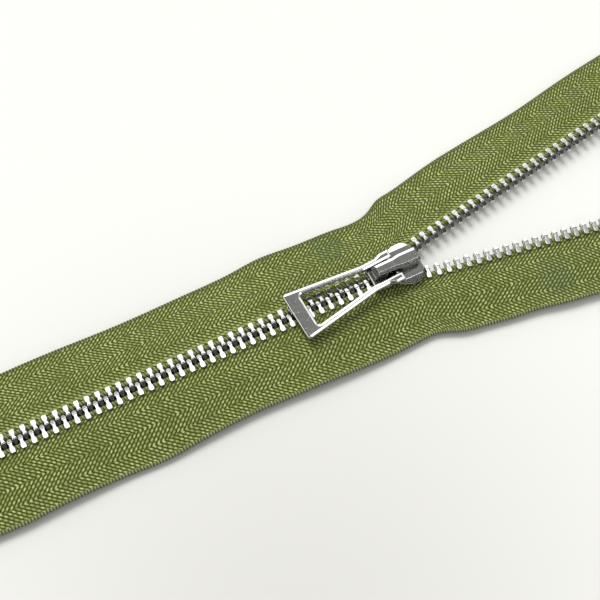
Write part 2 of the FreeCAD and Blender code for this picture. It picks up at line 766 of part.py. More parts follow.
def puller():
    """The pull: a flat frame that widens away from its pivot bar, lying back over the closed chain."""
    body = new_body("puller")
    frame = new_sketch(body, "puller_frame")
    end, window = "0 - puller_reach", "0 - puller_reach + puller_bar"
    outline(
        frame,
        [
            (end, "0 - puller_end_width / 2"),
            ("neck_rear", "0 - puller_neck_width / 2"),
            ("neck_front", "0 - puller_neck_width / 2"),
            ("foot_rear", "0 - puller_foot_width / 2"),
            ("foot_front", "0 - puller_foot_width / 2"),
            ("foot_front", "0 - window_neck_width / 2"),
            ("neck_rear", "0 - window_neck_width / 2"),
            (window, "0 - window_end_width / 2"),
            (window, "window_end_width / 2"),
            ("neck_rear", "window_neck_width / 2"),
            ("foot_front", "window_neck_width / 2"),
            ("foot_front", "puller_foot_width / 2"),
            ("foot_rear", "puller_foot_width / 2"),
            ("neck_front", "puller_neck_width / 2"),
            ("neck_rear", "puller_neck_width / 2"),
            (end, "puller_end_width / 2"),
        ],
    )
    pad(body, frame, "puller_thickness", midplane=True)
    far, inner = number("1 - puller_reach"), number("puller_bar - puller_reach")
    round_edges(body, lambda e: upright(e) and e.Vertexes[0].Point.x < far, "puller_corner")
    round_edges(body, lambda e: upright(e) and abs(e.Vertexes[0].Point.x - inner) < 0.01, "window_corner")
    half = number("puller_thickness / 2")
    slope_edges(body, lambda e: level(e, half) or level(e, -half), "puller_slope_width", "puller_slope")
    rim = half - number("puller_slope_width") * math.tan(math.radians(number("puller_slope")))
    round_edges(body, lambda e: upright(e) or level(e, rim) or level(e, -rim), "puller_rounding")
    bar = new_sketch(body, "pivot_bar", plane="XZ_Plane")
    circle(bar, "0", "0", "pivot_bar_width")
    pad(body, bar, "window_neck_width + 1", midplane=True)
    skewed = FreeCAD.Rotation(FreeCAD.Vector(0, 0, 1), number("puller_skew"))
    sagging = FreeCAD.Rotation(FreeCAD.Vector(0, 1, 0), -number("puller_sag"))
    body.Placement = FreeCAD.Placement(FreeCAD.Vector(), skewed * sagging)
    place(body, x="pivot_at", z="pivot_height")
    return body


form = tooth_form()
left, right = "left_open_angle", "right_open_angle"
behind, ahead = int(number("teeth_behind")), int(number("teeth_ahead"))
inside = int(number("teeth_inside"))
nodes = [
    tape("tape_left", left),
    tape("tape_right", right, right=True),
    cord("cord_left", left),
    cord("cord_right", right, right=True),
    teeth_row("teeth_left_meshed", form, -behind, behind - 3, left),
    teeth_row("teeth_left_in_slider", form, -3, inside, left),
    teeth_row("teeth_left_free", form, inside - 3, ahead - inside + 4, left),
    teeth_row("teeth_right_meshed", form, -behind, behind - 3, right, right=True),
    teeth_row("teeth_right_in_slider", form, -3, inside, right, right=True),
    teeth_row("teeth_right_free", form, inside - 3, ahead - inside + 4, right, right=True),
    bottom_stop(),
    top_stop("top_stop_left", left),
    top_stop("top_stop_right", right, right=True),
    slider_body(),
    crown_cap(),
    lock_spring(),
    puller(),
]
doc.recompute()

os.makedirs("parts", exist_ok=True)
for thing in doc.Objects:
    if {"Invalid", "Error"} & set(thing.State):
        raise ValueError(f"{thing.Label} failed: {thing.State}")
for node in nodes:
    if node.Shape.isNull() or not node.Shape.isValid():
        raise ValueError(f"{node.Label} has no valid shape")
    node.Shape.exportStep(f"parts/{node.Label}.step")
    print(node.Label, len(node.Shape.Solids), "solids", round(node.Shape.Volume, 2), "mm3")
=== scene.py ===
import json
import math

import bmesh
import bpy
import numpy as np
from mathutils import Matrix, Vector

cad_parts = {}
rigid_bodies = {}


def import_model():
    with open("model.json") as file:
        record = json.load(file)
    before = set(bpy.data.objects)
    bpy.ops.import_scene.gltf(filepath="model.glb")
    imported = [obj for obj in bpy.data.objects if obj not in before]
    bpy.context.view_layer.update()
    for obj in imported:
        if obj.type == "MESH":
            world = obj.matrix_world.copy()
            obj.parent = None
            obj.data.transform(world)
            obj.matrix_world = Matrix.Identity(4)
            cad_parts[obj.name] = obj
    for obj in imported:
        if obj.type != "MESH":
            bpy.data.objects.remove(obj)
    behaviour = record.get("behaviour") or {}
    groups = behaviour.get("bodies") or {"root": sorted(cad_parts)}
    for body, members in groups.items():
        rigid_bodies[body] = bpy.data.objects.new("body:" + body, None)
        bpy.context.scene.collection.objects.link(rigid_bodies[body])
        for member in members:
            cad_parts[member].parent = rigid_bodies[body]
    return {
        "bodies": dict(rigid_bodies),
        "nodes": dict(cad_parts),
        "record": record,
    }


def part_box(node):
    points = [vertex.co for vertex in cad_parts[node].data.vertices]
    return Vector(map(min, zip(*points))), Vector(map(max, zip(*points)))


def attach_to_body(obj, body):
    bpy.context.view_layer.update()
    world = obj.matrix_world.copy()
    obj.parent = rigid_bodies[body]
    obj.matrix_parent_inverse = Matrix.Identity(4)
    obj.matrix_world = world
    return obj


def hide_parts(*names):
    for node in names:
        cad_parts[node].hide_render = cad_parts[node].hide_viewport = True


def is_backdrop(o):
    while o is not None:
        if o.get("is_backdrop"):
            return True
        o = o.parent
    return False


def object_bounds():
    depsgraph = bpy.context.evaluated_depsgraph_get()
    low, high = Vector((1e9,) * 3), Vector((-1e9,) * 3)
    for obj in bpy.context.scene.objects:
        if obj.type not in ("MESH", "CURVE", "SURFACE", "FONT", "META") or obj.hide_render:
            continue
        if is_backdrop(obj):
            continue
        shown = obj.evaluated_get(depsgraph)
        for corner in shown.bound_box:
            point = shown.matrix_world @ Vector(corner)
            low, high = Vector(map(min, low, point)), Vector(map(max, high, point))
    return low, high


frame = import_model()
cad_low, cad_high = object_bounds()
nodes = frame["nodes"]
MM = 0.001

# The two rows of the zipper. Left is on the +Y side.
SIDES = {"left": 1.0, "right": -1.0}
PLACES = ("meshed", "in_slider", "free")

# The woven tapes, in metres. Distances across are measured from the row's pitch line.
PATH_REACH = 0.2  # how far the paths run each way from the slider
PATH_STEP = 0.5 * MM
MARGIN_DELAY = 3 * MM  # how much further on the sewing margins bend than the rows do
DELAY_ENDS = (8 * MM, 25 * MM)
MARGIN_TURN = (-4 * MM, 12 * MM)
STITCH = 0.62 * MM  # spacing of the weft's loops along the selvedge
RUN_STEP = 0.25 * MM
BAND = 4.8 * MM  # width of the thicker band beside the chain
MARGIN_SHARE = 0.84  # the margin's thickness as a share of the band's
CLOSED_END = 20 * MM  # a stretch at the closed end where the strips run straight
STRAIGHT_TEETH = 20  # how many of a row's last teeth stand in a straight line
CORD_SIDES = 14
DROOP = 0.75 * MM  # how far the outer edges sink towards the table

OUTWARD = {"left": -0.35, "right": 0.6}  # how far each outer edge stands out as a whole, in millimetres

# Where each outer edge strays outwards: the middle and half-length of the stretch along the row, in metres,
# and how far it strays, in millimetres.
SWAY = {
    "left": (
        (-0.052, 0.012, -0.5),
        (-0.023, 0.006, 0.65),
        (-0.0025, 0.004, -0.5),
        (0.006, 0.003, 0.5),
        (0.022, 0.01, 0.35),
        (0.045, 0.01, -0.3),
    ),
    "right": (
        (-0.085, 0.006, 0.4),
        (-0.057, 0.006, 0.5),
        (-0.038, 0.009, -0.45),
        (-0.01, 0.011, 0.6),
        (0.01, 0.006, 0.2),
        (0.025, 0.004, -0.35),
    ),
}


# ---------------------------------------------------------------- paths read from the CAD teeth
def smooth(low, high, x):
    t = np.clip((x - low) / (high - low), 0, 1)
    return t * t * (3 - 2 * t)


def islands(obj):
    """Each separate solid in a node, in order along X: its centre's x and y, and its long direction."""
    mesh = bmesh.new()
    mesh.from_mesh(obj.data)
    bmesh.ops.remove_doubles(mesh, verts=mesh.verts, dist=1e-6)
    seen, centres = set(), []
    for start in mesh.verts:
        if start in seen:
            continue
        seen.add(start)
        stack, found = [start], []
        while stack:
            vert = stack.pop()
            found.append(vert.co.copy())
            for edge in vert.link_edges:
                other = edge.other_vert(vert)
                if other not in seen:
                    seen.add(other)
                    stack.append(other)
        points = np.array(found)
        flat = points[:, :2] - points[:, :2].mean(0)
        axis = np.linalg.eigh(flat.T @ flat)[1][:, -1]
        spread = flat @ axis
        middle = points[:, :2].mean(0) + axis * (spread.max() + spread.min()) / 2
        centres.append((middle[0], middle[1], axis * np.sign(axis[1])))
    mesh.free()
    return sorted(centres, key=lambda c: c[0])


class Path:
    """A row's pitch line, read from where the CAD teeth stand: position and direction along it."""

    def __init__(self, side):
        self.side = SIDES[side]
        meshed, in_slider, free = (islands(nodes[f"teeth_{side}_{place}"]) for place in PLACES)
        self.pitch = (meshed[-1][0] - meshed[0][0]) / (len(meshed) - 1)
        self.offset = abs(np.mean([c[1] for c in meshed]))
        self.first = meshed[0][0]
        teeth = meshed + in_slider + free
        back = self.side * self.offset
        spots = [(x - axis[0] * back, y - axis[1] * back) for x, y, axis in teeth]
        runs = self.first + self.pitch * np.arange(len(teeth))
        # the last stretch is straight, so a line fitted through its teeth carries the path on
        tail = np.array(spots[-STRAIGHT_TEETH:])
        slope = np.polyfit(tail[:, 0], tail[:, 1], 1)[0]
        self.leaving = math.atan(slope)
        along = np.array([math.cos(self.leaving), math.sin(self.leaving)])
        end, start = np.array(spots[-1]), np.array([spots[0][0], 0.0])
        before = np.arange(-PATH_REACH, runs[0], self.pitch)
        after = np.arange(runs[-1] + self.pitch, PATH_REACH + self.pitch, self.pitch)
        self.runs = np.concatenate([before, runs, after])
        self.spots = np.concatenate(
            [
                np.stack([start[0] + before - runs[0], np.zeros(len(before))], 1),
                np.array(spots),
                end + (after - runs[-1])[:, None] * along,
            ]
        )
        self.slopes = np.gradient(self.spots, self.runs, axis=0)

    def at(self, run):
        """Position and unit direction at a distance along the path, by cubic pieces between teeth."""
        run = np.asarray(run, float)
        i = np.clip(np.searchsorted(self.runs, run) - 1, 0, len(self.runs) - 2)
        width = self.runs[i + 1] - self.runs[i]
        t = ((run - self.runs[i]) / width)[..., None]
        w = width[..., None]
        a, b = self.spots[i], self.spots[i + 1]
        ma, mb = self.slopes[i] * w, self.slopes[i + 1] * w
        spot = (2 * t**3 - 3 * t**2 + 1) * a + (3 * t**2 - 2 * t**3) * b
        spot = spot + (t**3 - 2 * t**2 + t) * ma + (t**3 - t**2) * mb
        way = (6 * t**2 - 6 * t) * (a - b) + (3 * t**2 - 4 * t + 1) * ma + (3 * t**2 - 2 * t) * mb
        return spot, way / np.linalg.norm(way, axis=-1, keepdims=True)


class OuterPath:
    """The line that the tape's sewing margin follows. It bends later than the row, and more gently."""

    def __init__(self, path):
        self.path = path
        self.side = path.side

    def at(self, run):
        run = np.asarray(run, float)
        late = MARGIN_DELAY * (1 - smooth(*DELAY_ENDS, run))
        spot, _ = self.path.at(run - late)
        spot[..., 0] += late
        heading = self.path.leaving * smooth(*MARGIN_TURN, run)
        return spot, np.stack([np.cos(heading), np.sin(heading)], -1)


def laid(path, outer, run, out, share):
    """Places in the plane for points along and out from the row, between its inner and outer paths."""
    a, way_a = path.at(run)
    b, way_b = outer.at(run)
    across_a = np.stack([-way_a[..., 1], way_a[..., 0]], -1) * path.side
    across_b = np.stack([-way_b[..., 1], way_b[..., 0]], -1) * path.side
    near = a + across_a * out[..., None]
    far = b + across_b * out[..., None]
    return near + (far - near) * share[..., None]


paths = {side: Path(side) for side in SIDES}
outers = {side: OuterPath(paths[side]) for side in SIDES}


# ---------------------------------------------------------------- node trees
class Graph:
    """Adds nodes to a tree. Each call adds one and returns the output that was asked for."""

    def __init__(self, tree):
        self.tree = tree

    def add(self, kind, inputs=None, output=0, **settings):
        node = self.tree.nodes.new(kind)
        for name, value in settings.items():
            setattr(node, name, value)
        for key, value in (inputs or {}).items():
            self.put(node.inputs[key], value)
        return node.outputs[output]

    def put(self, socket, value):
        if isinstance(value, bpy.types.NodeSocket):
            self.tree.links.new(value, socket)
        else:
            socket.default_value = value

    def math(self, operation, *values):
        node = self.tree.nodes.new("ShaderNodeMath")
        node.operation = operation
        for socket, value in zip(node.inputs, values):
            self.put(socket, value)
        return node.outputs[0]

    def vector(self, operation, *values, scale=None):
        node = self.tree.nodes.new("ShaderNodeVectorMath")
        node.operation = operation
        for socket, value in zip(node.inputs, values):
            self.put(socket, value)
        if scale is not None:
            self.put(node.inputs["Scale"], scale)
        return node.outputs["Value" if operation in ("DOT_PRODUCT", "LENGTH") else "Vector"]

    def ramp(self, value, low, high, to_low=0.0, to_high=1.0, smooth_step=True):
        return self.add(
            "ShaderNodeMapRange",
            {"Value": value, "From Min": low, "From Max": high, "To Min": to_low, "To Max": to_high},
            interpolation_type="SMOOTHSTEP" if smooth_step else "LINEAR",
        )

    def mix(self, share, a, b):
        node = self.tree.nodes.new("ShaderNodeMix")
        node.data_type = "RGBA"
        self.put(node.inputs[0], share)
        self.put(node.inputs[6], a)
        self.put(node.inputs[7], b)
        return node.outputs[2]


def material(name):
    made = bpy.data.materials.new(name)
    made.use_nodes = True
    made.node_tree.nodes.clear()
    g = Graph(made.node_tree)
    shader = made.node_tree.nodes.new("ShaderNodeBsdfPrincipled")
    out = made.node_tree.nodes.new("ShaderNodeOutputMaterial")
    made.node_tree.links.new(shader.outputs[0], out.inputs[0])
    return made, g, shader


def colour(r, g, b):
    """A display colour, 0 to 255, as linear light."""

    def linear(c):
        c /= 255
        return c / 12.92 if c <= 0.04045 else ((c + 0.055) / 1.055) ** 2.4

    return (linear(r), linear(g), linear(b), 1.0)


# ---------------------------------------------------------------- materials
def herringbone(name, outer_edge, loop_colour, painted_lighting_colour, darker_patch_at):
    """Woven tape. Its UV map holds millimetres along and out from the row's pitch line."""
    # millimetres: the width between folds, where the first one is, the ribs' spacing, a stroke's length
    band, first_fold, spacing, stroke = 3.15, 1.7, 0.6, 1.0
    rib_angle = math.radians(38)
    # how much further along its first stroke starts on each next rib, and at most at random, in strokes
    rib_shift, rib_slip = 0.38, 0.35
    made, g, shader = material(name)
    at = g.add("ShaderNodeUVMap", uv_map="weave")
    split = made.node_tree.nodes.new("ShaderNodeSeparateXYZ")
    g.put(split.inputs[0], at)
    run, out = split.outputs[0], split.outputs[1]
    wander = g.add("ShaderNodeTexNoise", {"Vector": at, "Scale": 0.35, "Detail": 1.0})
    wander = g.math("MULTIPLY", g.math("SUBTRACT", wander, 0.5), 0.5)
    fold = g.math("PINGPONG", g.math("SUBTRACT", out, first_fold), band)
    run_there = g.math("ADD", run, wander)
    climb = g.math("MULTIPLY", run_there, math.sin(rib_angle))
    rib = g.math("DIVIDE", g.math("ADD", climb, g.math("MULTIPLY", fold, math.cos(rib_angle))), spacing)
    rib_no = g.math("FLOOR", rib)
    rib_at = g.math("FRACT", rib)
    fall = g.math("MULTIPLY", fold, math.sin(rib_angle))
    down = g.math("SUBTRACT", g.math("MULTIPLY", run_there, math.cos(rib_angle)), fall)
    slip = g.add("ShaderNodeTexWhiteNoise", {"W": rib_no}, noise_dimensions="1D")
    down = g.math("ADD", g.math("DIVIDE", down, stroke), g.math("MULTIPLY", rib_no, rib_shift))
    down = g.math("ADD", down, g.math("MULTIPLY", slip, rib_slip))
    stroke_no = g.math("FLOOR", down)
    stroke_at = g.math("FRACT", down)
    stitch = g.add("ShaderNodeCombineXYZ", {0: rib_no, 1: stroke_no})
    random = g.add("ShaderNodeTexWhiteNoise", {"Vector": stitch}, noise_dimensions="2D")

    def dome(x, power):
        side = g.math("ABSOLUTE", g.math("SUBTRACT", g.math("MULTIPLY", x, 2.0), 1.0))
        return g.math("SUBTRACT", 1.0, g.math("POWER", side, power))

    crossing = g.ramp(dome(stroke_at, 2.0), 0.0, 1.0, 0.38, 1.0, smooth_step=False)
    height = g.math("MULTIPLY", dome(rib_at, 2.0), crossing)
    fibre = g.add(
        "ShaderNodeTexNoise",
        {"Vector": g.vector("MULTIPLY", at, (11.0, 11.0, 11.0)), "Scale": 1.0, "Detail": 2.0},
    )
    # the selvedge: loops of weft round the outermost warp ends
    selvedge = g.ramp(out, outer_edge - 0.75, outer_edge - 0.5)
    loop = dome(g.math("FRACT", g.math("DIVIDE", run, STITCH / MM)), 2.0)
    height = g.math("MULTIPLY", height, g.math("SUBTRACT", 1.0, selvedge))
    height = g.math("ADD", height, g.math("MULTIPLY", loop, selvedge))
    height = g.math("ADD", height, g.math("MULTIPLY", g.math("SUBTRACT", fibre, 0.5), 0.3))
    patch = g.add("ShaderNodeTexNoise", {"Vector": at, "Scale": 0.09, "Detail": 2.0})
    # painted light and shade: the low points between the yarns are painted dark as shade, and the high points
    # of the strokes are painted light as a highlight, on some strokes more than others
    painted_gap_shade, yarn, painted_highlight = colour(44, 54, 10), colour(112, 122, 56), colour(204, 208, 142)
    shade = g.mix(g.ramp(height, 0.12, 0.68), painted_gap_shade, yarn)
    lift = g.math("MULTIPLY", g.ramp(height, 0.62, 1.05), g.ramp(random, 0.1, 1.0, 0.3, 1.0))
    shade = g.mix(lift, shade, painted_highlight)
    shade = g.mix(g.math("MULTIPLY", g.ramp(patch, 0.4, 0.7), 0.14), shade, colour(60, 84, 30))
    # a patch painted darker round a spot; on the left tape it is painted shade where the tape bends
    darker_patch_distance = g.vector("LENGTH", g.vector("SUBTRACT", at, darker_patch_at))
    shade = g.mix(g.ramp(darker_patch_distance, 1.5, 5.5, 0.3, 0.0), shade, colour(62, 88, 62))
    shade = g.mix(g.math("MULTIPLY", selvedge, 0.8), shade, g.mix(loop, colour(34, 38, 20), loop_colour))
    # painted light along the tape next to the teeth's legs: a highlight on the left, a shadow on the right
    painted_lighting_beside_legs = g.math("MULTIPLY", g.ramp(out, 2.25, 2.4), g.ramp(out, 2.85, 2.65))
    shade = g.mix(g.math("MULTIPLY", painted_lighting_beside_legs, 0.55), shade, painted_lighting_colour)
    g.put(shader.inputs["Base Color"], shade)
    g.put(shader.inputs["Roughness"], g.ramp(height, 0.0, 1.0, 0.85, 0.55))
    g.put(shader.inputs["Sheen Weight"], 0.25)
    g.put(shader.inputs["Sheen Roughness"], 0.5)
    g.put(shader.inputs["Sheen Tint"], colour(190, 205, 130))
    g.put(shader.inputs["Specular IOR Level"], 0.35)
    bump = g.add("ShaderNodeBump", {"Height": height, "Strength": 0.9, "Distance": 0.16 * MM})
    g.put(shader.inputs["Normal"], bump)
    return made


# On each side: the colours of the selvedge's loops and of the painted light next to the teeth's legs (a
# highlight on the left, a shadow on the right), and the middle of a patch painted darker, on the left as
# shade where the tape bends.
EDGING = {
    "left": (colour(88, 96, 56), colour(150, 162, 92), (-9.5, 11.0, 0.0)),
    "right": (colour(128, 136, 100), colour(52, 62, 26), (31.0, 9.0, 0.0)),
}


def braid(name):
    """The cord's round braid. Its UV map holds millimetres along it and turns round it."""
    made, g, shader = material(name)
    at = g.add("ShaderNodeUVMap", uv_map="weave")
    split = made.node_tree.nodes.new("ShaderNodeSeparateXYZ")
    g.put(split.inputs[0], at)
    run, turn = split.outputs[0], split.outputs[1]
    strand = g.math("FRACT", g.math("ADD", g.math("DIVIDE", run, STITCH / MM), g.math("MULTIPLY", turn, 2.0)))
    side = g.math("ABSOLUTE", g.math("SUBTRACT", g.math("MULTIPLY", strand, 2.0), 1.0))
    height = g.math("SUBTRACT", 1.0, g.math("POWER", side, 2.0))
    drawn = g.vector("MULTIPLY", at, (10.0, 30.0, 1.0))
    fibre = g.add("ShaderNodeTexNoise", {"Vector": drawn, "Scale": 1.0, "Detail": 2.0})
    height = g.math("ADD", height, g.math("MULTIPLY", g.math("SUBTRACT", fibre, 0.5), 0.3))
    # painted light and shade: the hollows between the strands are painted dark as shade and their crests
    # lighter as a highlight
    shade = g.mix(g.ramp(height, 0.0, 0.6), colour(38, 46, 14), colour(96, 108, 50))
    shade = g.mix(g.math("MULTIPLY", g.ramp(height, 0.6, 1.1), 0.6), shade, colour(160, 170, 110))
    g.put(shader.inputs["Base Color"], shade)
    g.put(shader.inputs["Roughness"], 0.7)
    g.put(shader.inputs["Sheen Weight"], 0.2)
    bump = g.add("ShaderNodeBump", {"Height": height, "Strength": 0.9, "Distance": 0.1 * MM})
    g.put(shader.inputs["Normal"], bump)
    return made


def nickel(name, tint=(0.78, 0.77, 0.74), rough=0.12, wear=0.35, scratches=0.2, edge=0.12, dents=0.0):
    """Polished plate with edges softened by so many millimetres, cloudy wear, scratches, small dents, and
    crevices painted dark as shade.
    """
    made, g, shader = material(name)
    where = g.vector("SCALE", g.add("ShaderNodeTexCoord", output="Object"), scale=1 / MM)
    cloud = g.add("ShaderNodeTexNoise", {"Vector": where, "Scale": 0.55, "Detail": 3.0, "Roughness": 0.5})
    grime = g.add("ShaderNodeTexNoise", {"Vector": where, "Scale": 2.4, "Detail": 2.0, "Roughness": 0.5})
    lines = None
    for turn, stretch, seed in ((0.35, 9.0, 0.0), (-0.9, 11.0, 7.0)):
        turned = g.add("ShaderNodeVectorRotate", {"Vector": where, "Angle": turn}, rotation_type="Z_AXIS")
        drawn = g.vector("MULTIPLY", g.vector("ADD", turned, (seed, seed, 0.0)), (1.1, stretch, 0.6))
        mark = g.add("ShaderNodeTexNoise", {"Vector": drawn, "Scale": 1.0, "Detail": 0.0})
        mark = g.ramp(mark, 0.8, 0.86)
        lines = mark if lines is None else g.math("MAXIMUM", lines, mark)
    base = (*tint, 1.0)
    dull = (tint[0] * 0.72, tint[1] * 0.72, tint[2] * 0.7, 1.0)
    shade = g.mix(g.math("MULTIPLY", g.ramp(cloud, 0.42, 0.72), wear), base, dull)
    # painted shade: crevices are darkened towards black by ambient occlusion, as if shaded by their
    # neighbours
    occlusion_for_painted_shade = g.add("ShaderNodeAmbientOcclusion", {"Distance": 1.4 * MM}, output="AO", samples=8)
    shade = g.mix(g.ramp(occlusion_for_painted_shade, 0.25, 0.85, 0.12, 1.0), (0.0, 0.0, 0.0, 1.0), shade)
    g.put(shader.inputs["Base Color"], shade)
    g.put(shader.inputs["Metallic"], 1.0)
    roughness = g.ramp(grime, 0.3, 0.75, rough, rough + 0.12 * wear)
    roughness = g.math("ADD", roughness, g.math("MULTIPLY", lines, 0.3 * scratches))
    g.put(shader.inputs["Roughness"], roughness)
    soft = g.add("ShaderNodeBevel", {"Radius": edge * MM}, samples=6)
    relief = g.math("MULTIPLY", grime, 0.5 * wear + dents)
    relief = g.math("ADD", relief, g.math("MULTIPLY", lines, -0.5 * scratches))
    dent = {"Height": relief, "Strength": 0.35, "Distance": 0.02 * MM, "Normal": soft}
    bump = g.add("ShaderNodeBump", dent)
    g.put(shader.inputs["Normal"], bump)
    return made


def paint(obj, made):
    obj.data.materials.clear()
    obj.data.materials.append(made)


finishes = {
    "tooth_nickel": nickel("tooth_nickel", dents=1.1),
    "stop_nickel": nickel("stop_nickel", rough=0.16, wear=0.3, edge=0.15, dents=0.4),
    "slider_nickel": nickel("slider_nickel", scratches=0.4),
    "crown_nickel": nickel("crown_nickel", wear=0.45, scratches=0.8, edge=0.08),
    "puller_nickel": nickel("puller_nickel", scratches=0.9, edge=0.1),
    "spring_steel": nickel("spring_steel", (0.62, 0.62, 0.63), rough=0.3, wear=0.3, scratches=0.5, edge=0.04),
}
for part in frame["record"]["subparts"]:
    if part["material_slot"] in finishes:
        paint(nodes[part["node"]], finishes[part["material_slot"]])


# ---------------------------------------------------------------- woven pieces
def strip(name, points, uv, fields, made, node):
    """A closed skin from a grid of points, rows along the piece and columns round its section."""
    rows, columns = points.shape[:2]
    index = np.arange(rows * columns).reshape(rows, columns)
    right = np.roll(index, -1, axis=1)
    quads = np.stack([index[:-1], right[:-1], right[1:], index[1:]], -1).reshape(-1, 4)
    mesh = bpy.data.meshes.new(name)
    faces = quads.tolist() + [index[0, ::-1].tolist(), index[-1].tolist()]
    mesh.from_pydata(points.reshape(-1, 3).tolist(), [], faces)
    for key, values in fields.items():
        layer = mesh.attributes.new(key, "FLOAT", "POINT")
        layer.data.foreach_set("value", values.astype(np.float32).ravel())
    corners = np.zeros(len(mesh.loops), np.int32)
    mesh.loops.foreach_get("vertex_index", corners)
    layer = mesh.uv_layers.new(name="weave")
    layer.data.foreach_set("uv", uv.reshape(-1, 2)[corners].astype(np.float32).ravel())
    mesh.polygons.foreach_set("use_smooth", [True] * len(mesh.polygons))
    mesh.update()
    obj = bpy.data.objects.new(name, mesh)
    bpy.context.scene.collection.objects.link(obj)
    paint(obj, made)
    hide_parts(node)
    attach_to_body(obj, "chain")
    return obj


def tape_section(inner, outer, half_inner, half_outer):
    """The tape's section as (out, height) pairs: over the top, round the selvedge and back underneath."""
    step = inner + BAND
    middle = np.arange(inner + 0.3 * MM, outer - 1.0 * MM, 0.6 * MM)
    out = np.concatenate([[inner], middle, outer - np.array([0.9, 0.7, 0.5, 0.3, 0.12]) * MM])
    half = half_inner + (half_outer - half_inner) * smooth(step - 0.6 * MM, step + 0.6 * MM, out)
    roll = smooth(outer - 1.0 * MM, outer - 0.6 * MM, out) * 0.07 * MM
    fall = smooth(outer - 0.35 * MM, outer, out) * 0.1 * MM
    ridge = np.exp(-(((out - inner - 0.7 * MM) / (0.45 * MM)) ** 2)) * 0.12 * MM
    top = half + roll - fall + ridge
    under = half + roll - fall
    over = list(zip(out, top)) + [(outer, 0.06 * MM), (outer, -0.06 * MM)]
    return np.array(over + list(zip(out[::-1], -under[::-1])))


def measure(node, path):
    """A CAD strip's start and end along its row, distances out from it, middle height and half its height."""
    low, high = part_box(node)
    points = np.array([v.co for v in nodes[node].data.vertices])
    across = np.abs(points[points[:, 0] < low.x + CLOSED_END][:, 1])
    reach = points[:, 0] * math.cos(path.leaving) + points[:, 1] * math.sin(path.leaving)
    spot, way = path.at(PATH_REACH / 2)
    end = PATH_REACH / 2 - spot @ way + reach.max()
    return low.x, end, across.min(), across.max(), (low.z + high.z) / 2, (high.z - low.z) / 2


def make_tape(side):
    path, outer_path = paths[side], outers[side]
    start, end, inner, outer, centre, half = measure(f"tape_{side}", path)
    section = tape_section(inner, outer, half, half * MARGIN_SHARE)
    run = np.arange(start, end + RUN_STEP / 2, RUN_STEP)
    runs, outs = np.meshgrid(run, section[:, 0], indexing="ij")
    heights = np.broadcast_to(section[:, 1], runs.shape)
    share = smooth(inner, inner + BAND, outs)
    # the selvedge's loops, and the lie of a tape that isn't quite straight or flat
    edge = smooth(outer - 0.8 * MM, outer, outs)
    loops = edge * 0.06 * MM * np.cos(2 * math.pi * runs / STITCH)
    swell = 1 + 0.3 * edge * np.cos(2 * math.pi * runs / STITCH)
    free = smooth(inner + 3 * MM, outer, outs)
    strays = sum(height * np.exp(-(((runs - at) / width) ** 2)) for at, width, height in SWAY[side])
    sway = free * (OUTWARD[side] + strays) * MM
    waves = 0.2 * np.sin(runs / (9.5 * MM) + 1.7 * path.side) + 0.1 * np.sin(runs / (4.3 * MM))
    lift = free * (waves * MM - DROOP)
    flat = laid(path, outer_path, runs, outs + loops + sway, share)
    points = np.concatenate([flat, (centre + heights * swell + lift)[..., None]], -1)
    uv = np.stack([runs, outs], -1) / MM
    made = herringbone(f"herringbone_{side}", outer / MM, *EDGING[side])
    fields = {"run": runs, "out": outs, "share": share}
    tape = strip(f"woven_tape_{side}", points, uv, fields, made, f"tape_{side}")
    return tape


def make_cord(side):
    path = paths[side]
    start, end, inner, outer, height, _ = measure(f"cord_{side}", path)
    middle, radius = (inner + outer) / 2, (outer - inner) / 2
    run = np.arange(start, end + RUN_STEP / 4, RUN_STEP / 2)
    turns = np.arange(CORD_SIDES) / CORD_SIDES
    runs, around = np.meshgrid(run, turns, indexing="ij")
    thick = radius * (0.95 + 0.05 * np.cos(2 * math.pi * (runs / STITCH + 2 * around)))
    outs = middle - thick * np.cos(2 * math.pi * around)
    flat = laid(path, outers[side], runs, outs, runs * 0)
    heights = height + path.side * thick * np.sin(2 * math.pi * around)
    points = np.concatenate([flat, heights[..., None]], -1)
    uv = np.stack([runs / MM, around], -1)
    fields = {"run": runs, "out": outs, "share": runs * 0}
    cord = strip(f"braided_cord_{side}", points, uv, fields, braid(f"braid_{side}"), f"cord_{side}")
    return cord


# ---------------------------------------------------------------- the rows follow the slider
def guide(name, path_at):
    """A line of points along a path, each with its heading, which the modifiers read. It isn't shown."""
    run = np.arange(-PATH_REACH, PATH_REACH + PATH_STEP / 2, PATH_STEP)
    spot, way = path_at(run)
    mesh = bpy.data.meshes.new(name)
    mesh.from_pydata([(x, y, 0.0) for x, y in spot], [(i, i + 1) for i in range(len(run) - 1)], [])
    layer = mesh.attributes.new("heading", "FLOAT", "POINT")
    layer.data.foreach_set("value", np.arctan2(way[:, 1], way[:, 0]).astype(np.float32))
    obj = bpy.data.objects.new(name, mesh)
    bpy.context.scene.collection.objects.link(obj)
    obj.hide_render = True
    obj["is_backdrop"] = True
    return obj


